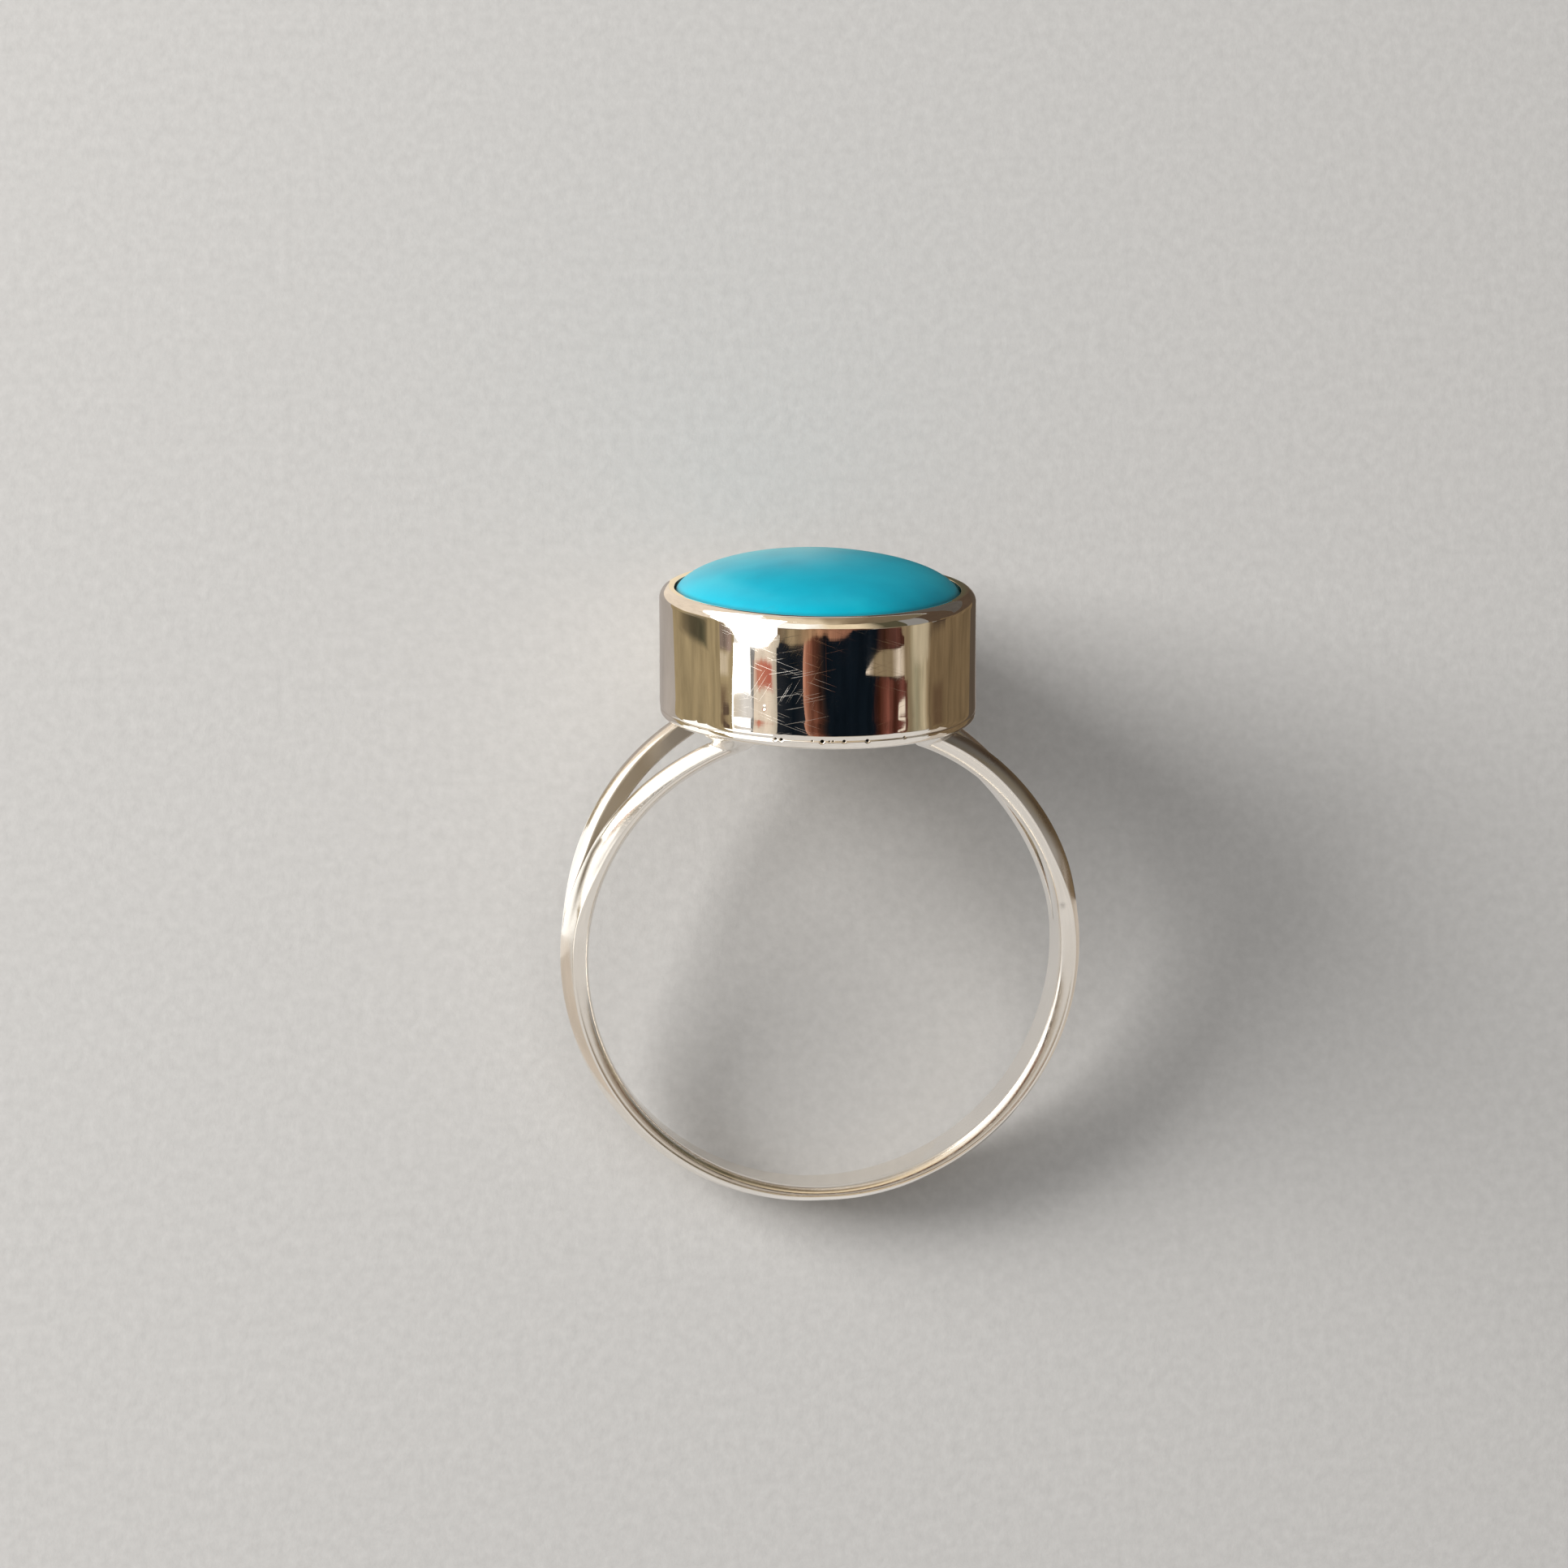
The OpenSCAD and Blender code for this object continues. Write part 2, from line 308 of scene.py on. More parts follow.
# %% Where the scratches of the wall gather
SCRATCH_ANGLE, SCRATCH_Z = math.radians(121), 10.5
scratch_spot = tuple(float(v) for v in (*oval(SCRATCH_ANGLE) + [BEZEL_SHIFT, 0], SCRATCH_Z))
print("scratches gather round", [round(v, 2) for v in scratch_spot], "mm")

# %% [markdown]
# The split band
#
# The band is half-round wire, sawn along its middle at both shoulders, and the two halves are bent apart and
# soldered under the plate. In one half the section runs from the middle of the bore, across it, up the side,
# over the crown and, where the band is sawn, back down the sawn face. Its place along the band is u: 0 at
# the end of the saw cut and 1 inside the plate.

# %% Sizes of the band
BAND_W, BAND_T, BAND_BOTTOM_T = 2.3, 0.88, 0.66
HALF_W = BAND_W / 2
SPLIT_ANGLE, PRONG_T, RIGHT_EXTRA = 85.0, 0.7, 0.2
BODY_END = 16 / 22
INNER_ANGLE, OUTER_ANGLE = 22.0, 28.0
INNER_X, OUTER_X, OUTER_CURL, SINK = 2.75, 4.4, 0.28, 0.3


def polar(radius, degrees):
    """Point at a radius and an angle from the top, as (right, up)."""
    return np.stack([radius * np.sin(np.radians(degrees)), radius * np.cos(np.radians(degrees))], -1)


def band_depth(degrees):
    """Depth of the band at an angle from the top: BAND_T at the sides, going over to BAND_BOTTOM_T below."""
    return mix(BAND_T, BAND_BOTTOM_T, 1 - np.abs(np.sin(np.radians(degrees))))


print("the band is", BAND_W, "mm wide and", band_depth(90.0), "mm deep at the sides")


# %% Lines of a prong
def bent(start, corner, end, t):
    """Quadratic curve from start to end that is pulled to corner."""
    t = t[:, None]
    return mix(mix(start, corner, t), mix(corner, end, t), t)


def prong_line(u, side):
    """Bore and crown side of a prong at u. Each follows its circle and then curves up into the plate."""
    along, ending = np.minimum(u / BODY_END, 1), np.clip((u - BODY_END) / (1 - BODY_END), 0, 1)
    depth = mix(band_depth(SPLIT_ANGLE), PRONG_T, along) + (RIGHT_EXTRA * ease(along) if side > 0 else 0)
    inner_angle, outer_angle = mix(SPLIT_ANGLE, INNER_ANGLE, along), mix(SPLIT_ANGLE, OUTER_ANGLE, along)
    inner, outer = polar(BORE_R, inner_angle), polar(BORE_R + depth, outer_angle)
    reach = inner[:, :1] - INNER_X
    inner_corner = inner + np.concatenate([-reach, reach * np.tan(np.radians(inner_angle))[:, None]], -1)
    onward = np.stack([-np.cos(np.radians(outer_angle)), np.sin(np.radians(outer_angle))], -1)
    outer_corner = outer + OUTER_CURL * onward
    return (bent(inner, inner_corner, np.array([INNER_X, PLATE_Z + SINK]), ending),
            bent(outer, outer_corner, np.array([OUTER_X, PLATE_Z + SINK]), ending))


sides = prong_line(np.array([0.0, BODY_END, 1.0]), -1)
deep = np.linalg.norm(sides[1] - sides[0], axis=1)
print("a prong is", deep.round(2), "mm deep at its start, shoulder and end")

# %% Section of half the band
BORE_STEPS, EDGE_STEPS, SIDE_STEPS, CROWN_STEPS, SAWN_STEPS = 7, 12, 6, 22, 7
PER_HALF = BORE_STEPS + EDGE_STEPS + SIDE_STEPS + CROWN_STEPS
CROWN_H, PRONG_CROWN_H, CROWN_MIDDLE, EDGE_DROP = 0.3, 0.46, 0.42, 0.34
EDGE_SHARE, EDGE_WIDE, SIDE_BULGE = 0.82, 0.34, 0.02


def half_section(inner, outer, gap, width, filed, lean, twist, side, end):
    """Points (right, front, up) of one half's sections, one row each: across the bore, round its edge, up
    the side, over the crown. The crown is a parabola that is highest in the band's middle, or near a prong's
    own middle."""
    depth = np.linalg.norm(outer - inner, axis=1)[:, None]
    per_row = (gap, width, filed, lean, twist)
    gap, width, filed, lean, twist = (np.asarray(v, float).reshape(-1, 1) for v in per_row)
    rise = mix(CROWN_H, PRONG_CROWN_H, filed)
    low = 1 - rise / depth
    turn = np.linspace(0, math.pi / 2, EDGE_STEPS + 1)[None, :]
    top = np.linspace(1, 0, CROWN_STEPS)[None, :]
    middle = CROWN_MIDDLE * filed
    far = 1 - ((top - middle) / (1 - middle)) ** 2
    near = 1 - filed * EDGE_DROP / rise * ((middle - top) / np.maximum(middle, 1e-6)) ** 2
    crown = low + (1 - low) * np.where(top >= middle, far, near)
    edge = EDGE_SHARE * low
    bore_width, side_width = width - SIDE_BULGE - EDGE_WIDE, width - SIDE_BULGE
    t = np.linspace(0, 1, SIDE_STEPS + 2)[None, 1:-1]
    bore_share = np.zeros((len(depth), BORE_STEPS))
    share = np.concatenate([bore_share, edge * (1 - np.cos(turn[:, 1:])), mix(edge, low, t), crown], 1)
    across = [bore_width * np.linspace(0, 1, BORE_STEPS)[None, :],
              bore_width + EDGE_WIDE * np.sin(turn[:, 1:]),
              width - SIDE_BULGE * (2 * t - 1) ** 2, side_width * top]
    across = np.concatenate([np.broadcast_to(a, (len(depth), a.shape[1])) for a in across], 1)
    turned = np.sin(np.radians(twist))
    lifted = share + (width / 2 - across) * turned / depth
    moved = across + (share - 0.5) * depth * turned
    point = inner[:, None, :] + (outer - inner)[:, None, :] * lifted[..., None]
    return np.stack([side * point[..., 0] - lean, end * (gap + moved), point[..., 1]], -1)


print("half a section has", PER_HALF, "points")

# %% [markdown]
# The prongs and their solder
#
# A prong's section goes on round its sawn face, which closes it. Where it nears the plate, solder has crept
# into the corner, so each of its points is pushed away from the prong's middle line, more and more steeply,
# until the metal runs out flat along the plate. The push is a quarter of a circle turned inside out.

# %% Sawn face and solder
FILLET, SOLDERED_FROM, LEAST_AWAY = 0.26, 0.5, 0.2
PLATE_IN, PLATE_MARGIN, SLOPE_OUT = 0.03, 0.1, 2.5


def sawn_face(rows_of_points):
    """The section's last part: evenly spaced points on a straight line from the crown's edge to the bore."""
    top, bottom = rows_of_points[:, -1], rows_of_points[:, 0]
    t = np.linspace(0, 1, SAWN_STEPS + 2)[1:-1]
    return mix(top[:, None], bottom[:, None], t[None, :, None])


def plate_reach(direction):
    """Distance from the middle to the plate's edge in a direction, read off the oval's points."""
    edge = oval(even, PLATE_IN)
    way = np.arctan2(edge[:, 1], edge[:, 0])
    order = np.argsort(way)
    return np.interp(direction, way[order], np.linalg.norm(edge, axis=1)[order], period=2 * math.pi)


def spread_solder(points, u):
    """Past SOLDERED_FROM, pushes a prong's points away from its middle line by FILLET (1 - sqrt(1 - 0.999
    t^2)), where t goes from 0 at FILLET below the plate to 1 at it."""
    middle = points.mean(1)
    level = points[..., 2]
    t = np.clip((level - PLATE_Z + FILLET) / FILLET, 0, 1)
    push = FILLET * (1 - np.sqrt(1 - t ** 2 * 0.999)) * (u[:, None] > SOLDERED_FROM)
    heights = np.maximum.accumulate(middle[:, 2])
    axis = np.stack([np.interp(level, heights, middle[:, 0]), np.interp(level, heights, middle[:, 1])], -1)
    away = points[..., :2] - axis
    away /= np.maximum(np.linalg.norm(away, axis=-1, keepdims=True), LEAST_AWAY)
    points[..., :2] += away * push[..., None]


def keep_under_plate(points):
    """Draws points in to PLATE_MARGIN inside the plate's edge, or SLOPE_OUT mm further out for each mm below
    the plate."""
    from_middle = points[..., :2] - [BEZEL_SHIFT, 0]
    reach = np.linalg.norm(from_middle, axis=-1)
    below = np.maximum(PLATE_Z - points[..., 2], 0)
    edge = plate_reach(np.arctan2(from_middle[..., 1], from_middle[..., 0]))
    allowed = edge - PLATE_MARGIN + SLOPE_OUT * below
    points[..., :2] = from_middle * np.minimum(allowed / reach, 1)[..., None] + [BEZEL_SHIFT, 0]


print("the plate reaches", plate_reach(0.0).round(2), "mm to the right")

# %% Build the four prongs
PRONG_ROWS, ROW_CROWDING = 150, 0.9
PRONG_SPREAD, PRONG_TWIST, SHOULDER_LEAN, SOLDER, FLARE_BLEND = 3.8, 8.0, 0.2, 0.22, 0.08


def prong(side, end):
    """Rows of points from the saw cut's end to the prong's end inside the plate. Its gap to the middle grows
    evenly with u after a soft start, and its twist, lean and filed crown come in over the first part."""
    u = np.linspace(0, 1, PRONG_ROWS) ** ROW_CROWDING
    inner, outer = prong_line(u, side)
    grow = SOLDER * np.clip((u - BODY_END) / (1 - BODY_END), 0, 1) ** 2
    soft_end = math.sqrt(1 + FLARE_BLEND ** 2) - FLARE_BLEND
    flare = (np.sqrt(u * u + FLARE_BLEND ** 2) - FLARE_BLEND) / soft_end
    points = half_section(inner, outer, PRONG_SPREAD * flare - grow, HALF_W + 2 * grow, ease(u / 0.25),
                          SHOULDER_LEAN * ease(u / 0.55), PRONG_TWIST * ease(u / 0.4), side, end)
    points = np.concatenate([points, sawn_face(points)], 1)
    spread_solder(points, u)
    keep_under_plate(points)
    return points


prongs = {(side, end): prong(side, end) for side in (-1, 1) for end in (-1, 1)}
print("prongs end at", [tuple(p[-1].mean(0).round(2)) for p in prongs.values()])

# %% [markdown]
# The whole band
#
# Below the cuts the two halves share their middle lines, so the band is one closed ring of sections. The
# prongs are welded to it along their first rows. The polishing wheel doesn't reach the sawn faces, so they
# keep their tarnish, and painted shade between the halves darkens them further, most by the end of the cut.
# A painted dark reflection lies on the right front prong's crown. Tarnish and shade together are a number
# from 0 to 1 at each point.

# %% Hoop below the cuts
BAND_ROWS = 260
turns = np.linspace(360 - SPLIT_ANGLE, SPLIT_ANGLE, BAND_ROWS)
hoop_lines = polar(BORE_R, turns), polar(BORE_R + band_depth(turns), turns)
zero = np.zeros(BAND_ROWS)
halves = [half_section(*hoop_lines, zero, zero + HALF_W, zero, zero, zero, 1, end) for end in (1, -1)]
hoop = np.concatenate([halves[0], halves[1][:, -2:0:-1]], 1)
print("the hoop is", hoop.shape[0], "sections of", hoop.shape[1], "points")

# %% Tarnish and painted shade of the prongs
# The sawn faces carry tarnish plus painted shade, deepest by the end of the cut. The right front prong's
# crown carries a painted dark reflection.
SAWN_DARK, CUT_END_SHADE, CUT_END_SHARE = 0.75, 0.25, 0.35
CROWN_REFLECTION_DARK, TOP_START = 0.6, 0.3
BACK_RIGHT_SHARE = 0.2


def prong_tarnish_and_shade(side, end, shape):
    """Tarnish and painted shade of the sawn face, and a painted dark reflection on the right front prong's
    crown, fading in over the first three rows. The right back prong has only a share of it."""
    along = np.linspace(0, 1, shape[0])[:, None]
    sawn = np.zeros(shape)
    sawn[:, PER_HALF - 1:] = SAWN_DARK + CUT_END_SHADE * (1 - ease(along / CUT_END_SHARE))
    # Painted dark reflection on the right front prong's crown.
    if side > 0 and end > 0:
        sawn[:, PER_HALF - CROWN_STEPS - 1:PER_HALF - 1] = CROWN_REFLECTION_DARK * ease(along / TOP_START)
    if side > 0 and end < 0:
        sawn *= BACK_RIGHT_SHARE
    sawn *= np.clip(np.arange(shape[0]) / 3, 0, 1)[:, None]
    return sawn.ravel()


# The rise by the end of the cut is painted shade.
print("tarnish goes from", SAWN_DARK, "on a sawn face to", SAWN_DARK + CUT_END_SHADE, "by the end of its cut")

# %% Join the prongs to the hoop
shank_points, shank_faces = [hoop.reshape(-1, 3)], [grid_faces(*hoop.shape[:2])]
tarnish_and_shade = [np.zeros(len(shank_points[0]))]
count = len(shank_points[0])
for (side, end), points in prongs.items():
    shank_points.append(points.reshape(-1, 3))
    shank_faces.append((grid_faces(*points.shape[:2]) + count)[:, ::side * end])
    tarnish_and_shade.append(prong_tarnish_and_shade(side, end, points.shape[:2]))
    count += len(shank_points[-1])
shank_points, tarnish_and_shade = np.concatenate(shank_points), np.concatenate(tarnish_and_shade)
print("band and prongs have", len(shank_points), "points before welding")

# %% Painted shade along a tail past the left saw cut, as points (right, front, up)
CUT_TAIL = np.array([(-9.21, 0.56, 0.86), (-9.04, 0.85, 1.64), (-8.91, 1.01, 2.24), (-8.76, 1.19, 2.86),
                     (-8.58, 1.38, 3.47), (-8.36, 1.54, 4.07), (-8.1, 1.76, 4.53)])
TAIL_STEPS, TAIL_R = 60, 0.12
along_tail = np.linspace(0, len(CUT_TAIL) - 1, TAIL_STEPS)
tail = np.stack([np.interp(along_tail, np.arange(len(CUT_TAIL)), CUT_TAIL[:, k]) for k in range(3)], -1)
from_tail = np.linalg.norm(shank_points[:, None] - tail[None], axis=-1)
# Painted shade: darkness along the tail line, joined to the sawn faces' tarnish.
painted_tail_shade = np.exp(-(from_tail / TAIL_R) ** 2) * ease(np.linspace(0.05, 1.6, TAIL_STEPS))[None]
tarnish_and_shade = np.maximum(tarnish_and_shade, np.max(painted_tail_shade, 1))
print((tarnish_and_shade > 0.5).sum(), "points are more than half dark")

# %% Small dark marks, each by its place, radius and darkness
MARKS = [((8.55, 1.1, 1.55), 0.09, 0.8), ((6.55, 1.0, -6.05), 0.08, 0.5), ((4.75, 0.9, -7.25), 0.1, 0.6),
         ((5.6, 0.9, -6.55), 0.08, 0.5), ((-8.1, 1.6, 3.95), 0.07, 0.6), ((-7.2, 2.2, 5.3), 0.06, 0.6)]
marks = np.zeros(len(shank_points))
for spot, radius, darkness in MARKS:
    marks = np.maximum(marks, darkness * np.exp(-((shank_points - spot) ** 2).sum(1) / radius ** 2))
print(len(MARKS), "marks")


# %% Weld the band
def weld(piece, distance=3e-7):
    """Merges points closer than distance, drops faces with no area, closes open ends, turns faces out."""
    b = bmesh.new()
    b.from_mesh(piece.data)
    bmesh.ops.remove_doubles(b, verts=b.verts, dist=distance)
    bmesh.ops.dissolve_degenerate(b, edges=b.edges, dist=1e-8)
    bmesh.ops.holes_fill(b, edges=[e for e in b.edges if e.is_boundary], sides=0)
    bmesh.ops.recalc_face_normals(b, faces=b.faces)
    loose = sum(not e.is_manifold for e in b.edges)
    b.to_mesh(piece.data)
    b.free()
    piece.data.shade_smooth()
    print(piece.name, "has", len(piece.data.vertices), "points after welding and", loose, "open edges")


TRACK_R = 9
radius_out = np.hypot(shank_points[:, 0], shank_points[:, 2])
round_way = TRACK_R * np.arctan2(shank_points[:, 0], -shank_points[:, 2])
shank_track = np.stack([round_way, shank_points[:, 1], radius_out], -1)
shank = make_piece("band", shank_points, shank_faces,
                   [("track", shank_track), ("pit", marks), ("tarnish_and_shade", tarnish_and_shade)])
weld(shank)

# %% [markdown]
# The stone
#
# The turquoise is a cabochon: a flat back, a straight girdle that the cup hides, and a low dome polished by
# hand. The dome's height over a point is a power of the distance left to its edge, which is flat on top and
# steep at the rim. A slow swell keeps the dome from being a perfect one.

# %% Dome of the stone
STONE_GAP, LIP, DOME_H = 0.04, 0.58, 1.14
GIRDLE_Z, TOP_Z, BACK_Z = RIM_Z - LIP, RIM_Z + DOME_H, SEAT_Z + STONE_GAP
STONE_AROUND, DOME_RINGS, DOME_POWER, STONE_SWELL = 360, 110, 0.42, 0.012
swing = np.linspace(0, math.pi / 2, DOME_RINGS + 1)[:-1]
size = np.cos(swing)[:, None]
rise = (1 - size ** 2) ** DOME_POWER
stone_angles = np.linspace(0, 2 * math.pi, STONE_AROUND, endpoint=False)
girdle = oval(stone_angles, WALL_T + STONE_GAP)
swell = np.sin(3 * stone_angles + 4 * size) + np.sin(5 * stone_angles - 3 * size)
level = mix(GIRDLE_Z, TOP_Z, rise) - STONE_SWELL * rise * (0.5 + 0.25 * size ** 2 * swell)
dome = np.concatenate([size[..., None] * girdle[None], level[..., None]], -1)
print("dome rises", round(TOP_Z - RIM_Z, 2), "mm over the rim")

# %% Build the stone
# Painted shade: the edge value is full on the stone's flat back and on the dome under the rim, and fades out
# a little above the rim's level.
RIM_SHADE_DARK, RIM_SHADE_REACH, RIM_SHADE_SOFT = 0.85, 0.12, 0.2
under = flat_rings(girdle, BACK_Z, (0.02, 0.6, 1.0))
tips = [[0, 0, BACK_Z], [0, 0, TOP_Z - STONE_SWELL / 2]]
stone_points, stone_faces = closed_at_poles(np.concatenate([under, dome]), tips)
rim_shade = RIM_SHADE_DARK * ease(1 - (dome[:, 0, 2] - RIM_Z + RIM_SHADE_REACH) / RIM_SHADE_SOFT)
edge_rim_shade = np.concatenate([np.ones(len(under) * STONE_AROUND), np.repeat(rim_shade, STONE_AROUND), [1, 0]])
cabochon = make_piece("cabochon", stone_points + [BEZEL_SHIFT, 0, 0], stone_faces, [("edge", edge_rim_shade)])

# %% [markdown]
# Silver
#
# Polished sterling is nearly a mirror, slightly warm, and never perfect: long hairlines follow the
# polishing, short scratches cross them, and pits and solder stay duller. All of it is small, so it comes
# from bump and roughness over patterns that run along each piece's own track, or over its place as worn, in
# millimetres.

# %% Node helpers
def new_material(name):
    """A material with its shader, a function that adds linked nodes, and its node tree."""
    material = bpy.data.materials.new(name)
    material.use_nodes = True
    tree = material.node_tree
    shader = tree.nodes["Principled BSDF"]

    def add(kind, inputs=(), **settings):
        """A new node with its settings. An input is a number, a colour, or a socket to link it to."""
        node = tree.nodes.new("ShaderNode" + kind)
        for key, value in settings.items():
            setattr(node, key, value)
        for key, value in dict(inputs).items():
            if isinstance(value, bpy.types.NodeSocket):
                tree.links.new(value, node.inputs[key])
            else:
                node.inputs[key].default_value = value
        return node

    return material, shader, add, tree


def ramp(add, factor, stops):
    """A colour ramp with its stops as (place, colour)."""
    node = add("ValToRGB", {"Fac": factor})
    elements = node.color_ramp.elements
    while len(elements) < len(stops):
        elements.new(0.5)
    for element, (place, colour) in zip(elements, stops):
        element.position = place
        element.color = (*colour, 1)
    return node.outputs["Color"]


def mixed(add, share, first, second):
    """A colour that goes from first to second as share goes from 0 to 1."""
    return add("Mix", {"Factor": share, "A": first, "B": second}, data_type="RGBA").outputs["Result"]


def cloudy(add, place, scale, detail, roughness=0.55, distortion=0.0):
    """Noise from 0 to 1 over a place, with about scale patches for each of its units."""
    inputs = {"Vector": place, "Scale": scale, "Detail": detail, "Roughness": roughness}
    return add("TexNoise", {**inputs, "Distortion": distortion}).outputs["Fac"]


def carried(add, name):
    """The number that each point of the mesh carries under a name."""
    return add("Attribute", attribute_name=name).outputs["Fac"]


def ranged(add, value, low, high, to_low=0.0, to_high=1.0, **settings):
    """Value from low to high becomes to_low to to_high."""
    inputs = {"Value": value, "From Min": low, "From Max": high, "To Min": to_low, "To Max": to_high}
    return add("MapRange", inputs, **settings).outputs["Result"]


def counted(add, operation, *values):
    """One step of arithmetic on two or three values."""
    return add("Math", dict(enumerate(values)), operation=operation).outputs["Value"]


def bumped(add, height, depth, strength=1.0, normal=None, **settings):
    """Bends the surface by a height times a depth in metres, on top of a normal that is already bent."""
    inputs = {"Height": height, "Distance": depth, "Strength": strength}
    if normal is not None:
        inputs["Normal"] = normal
    return add("Bump", inputs, **settings).outputs["Normal"]


print("node helpers are ready")

# %% Silver material
SILVER_DEEP, SILVER_BRIGHT = (0.93, 0.87, 0.79, 1), (0.97, 0.93, 0.87, 1)
TARNISH_AND_SHADE, PIT_BLACK = (0.155, 0.125, 0.09, 1), (0.05, 0.04, 0.03, 1)
PIT_DULL, TARNISH_DULL, SCRATCH_DULL = 0.35, 0.22, 0.06
SCRATCH_FROM, SCRATCH_TO = 0.77, 0.83
SMEAR_SCALE, SMEAR_FROM, SMEAR_TO = (0.9, 0.9, 0.9), 0.35, 0.7
NEAR_SPOT, FAR_FROM_SPOT, FAR_SHARE = 0.6, 2.0, 0.1


def silver(name, place, polish, scales, turns, scratch_scale, depths, spot=None):
    """Warm silver whose marks follow the attribute place, in mm. Polish is the lowest and highest roughness.
    Scales are of the hairlines, the slow wave and the ripple, each per mm three ways. Scratches run in as
    many directions as turns has degrees, and gather at spot if there is one. Depths, in metres, are of the
    slow wave, the ripple, the hairlines and the scratches."""
    material, shader, add, tree = new_material(name)
    track = add("Attribute", attribute_name=place).outputs["Vector"]

    def noise(scale, detail, vector=track):
        laid = add("Mapping", {"Vector": vector, "Scale": scale}).outputs["Vector"]
        return cloudy(add, laid, 1.0, detail)

    hair, wave, ripple = noise(scales[0], 3.0), noise(scales[1], 1.5), noise(scales[2], 1.0)
    smear = noise(SMEAR_SCALE, 4.0)
    scratch = None
    for k, turn in enumerate(turns):
        rotation = (0, math.radians(turn), math.radians(turn) * 0.6)
        laid = add("Mapping", {"Vector": track, "Rotation": rotation, "Location": (3.1 * k, 7.7 * k, 0)})
        one = noise(scratch_scale, 0.0, laid.outputs["Vector"])
        cut = ranged(add, one, SCRATCH_FROM, SCRATCH_TO, interpolation_type="SMOOTHSTEP")
        scratch = cut if scratch is None else counted(add, "MAXIMUM", scratch, cut)
    if spot:
        away = add("VectorMath", {0: track, 1: spot}, operation="DISTANCE").outputs["Value"]
        near = ranged(add, away, NEAR_SPOT, FAR_FROM_SPOT, 1.0, FAR_SHARE)
        scratch = counted(add, "MULTIPLY", scratch, near)
    shader.inputs["Metallic"].default_value = 1.0
    pit, tarnish_and_shade = carried(add, "pit"), carried(add, "tarnish_and_shade")
    colour = mixed(add, smear, SILVER_DEEP, SILVER_BRIGHT)
    # The tarnish colour also paints shade on the band's sawn faces and cut tail, and a dark reflection on one
    # crown.
    colour = mixed(add, pit, mixed(add, tarnish_and_shade, colour, TARNISH_AND_SHADE), PIT_BLACK)
    tree.links.new(colour, shader.inputs["Base Color"])
    rough = ranged(add, smear, SMEAR_FROM, SMEAR_TO, *polish)
    for mark, dullness in ((pit, PIT_DULL), (tarnish_and_shade, TARNISH_DULL), (scratch, SCRATCH_DULL)):
        rough = counted(add, "MULTIPLY_ADD", mark, dullness, rough)
    tree.links.new(rough, shader.inputs["Roughness"])
    normal = bumped(add, wave, depths[0])
    normal = bumped(add, ripple, depths[1], normal=normal)
    normal = bumped(add, hair, depths[2], normal=normal)
    normal = bumped(add, scratch, depths[3], normal=normal, invert=True)
    tree.links.new(normal, shader.inputs["Normal"])
    return material


cup_silver = silver("bezel_silver", "worn", polish=(0.012, 0.045),
                    scales=[(0.25, 0.25, 16), (0.5, 0.5, 0.1), (1.7, 1.7, 0.55)], turns=(14, 62, -20),
                    scratch_scale=(0.6, 0.5, 70), depths=(2.0e-5, 1.4e-6, 6e-8, 3.5e-7), spot=scratch_spot)
band_silver = silver("band_silver", "track", polish=(0.13, 0.24),
                     scales=[(0.25, 16, 16), (0.35, 0.5, 0.5), (0.9, 1.6, 1.6)], turns=(4, -22, 35),
                     scratch_scale=(0.5, 46, 46), depths=(1.2e-5, 4e-6, 3e-7, 1.0e-6))
bezel.data.materials.append(cup_silver)
shank.data.materials.append(band_silver)
print("silver materials:", cup_silver.name, band_silver.name)

# %% [markdown]
# Turquoise
#
# The stone is one even blue with a little green in it, clouded by paler and deeper patches and by a few
# faint brown-grey veins of matrix. Painted shade darkens its edge, under the rim, and its flat back. Its
# polish is waxy: a soft sheen under a very thin clear coat.

# %% Turquoise material
DEEP_BLUE, MID_BLUE, PALE_BLUE = (0.0, 0.28, 0.40), (0.0, 0.345, 0.475), (0.005, 0.41, 0.53)
MATRIX, STONE_SHADE = (0.035, 0.22, 0.27, 1), (0.02, 0.10, 0.115, 1)
stone_material, shader, add, tree = new_material("turquoise")
place = add("TexCoord").outputs["Object"]
cloud, grain = cloudy(add, place, 240.0, 5.0), cloudy(add, place, 2600.0, 3.0, 0.6)
blue = ramp(add, cloud, [(0.3, DEEP_BLUE), (0.5, MID_BLUE), (0.72, PALE_BLUE)])
streaks = cloudy(add, place, 620.0, 6.0, 0.7, distortion=0.8)
vein = ranged(add, streaks, 0.6, 0.74, to_high=0.32, interpolation_type="SMOOTHSTEP")
veined = mixed(add, vein, blue, MATRIX)
# Painted shade: the edge value mixes a darker teal in under the rim and on the stone's back.
tree.links.new(mixed(add, carried(add, "edge"), veined, STONE_SHADE), shader.inputs["Base Color"])
waxy = {"Roughness": 0.34, "Specular IOR Level": 0.14, "Coat Weight": 0.05, "Coat Roughness": 0.15}
for socket, value in waxy.items():
    shader.inputs[socket].default_value = value
tree.links.new(bumped(add, grain, 1.5e-6), shader.inputs["Normal"])
cabochon.data.materials.append(stone_material)
print("stone material:", stone_material.name)

# %% [markdown]
# Who stands for what
#
# Each new piece rides on the ring's only body and stands for the imported node that it refines, which is
# hidden. Each row also lists the material slot of the record whose finish it shows.

# %% Ride and replace
parts = ((bezel, "silver_mount", "silver"), (shank, "silver_mount", "silver"),
         (cabochon, "stone", "turquoise"))
for piece, node, slot in parts:
    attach(piece, "root")
    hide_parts(node)
print("pieces:", bezel.name, shank.name, cabochon.name)

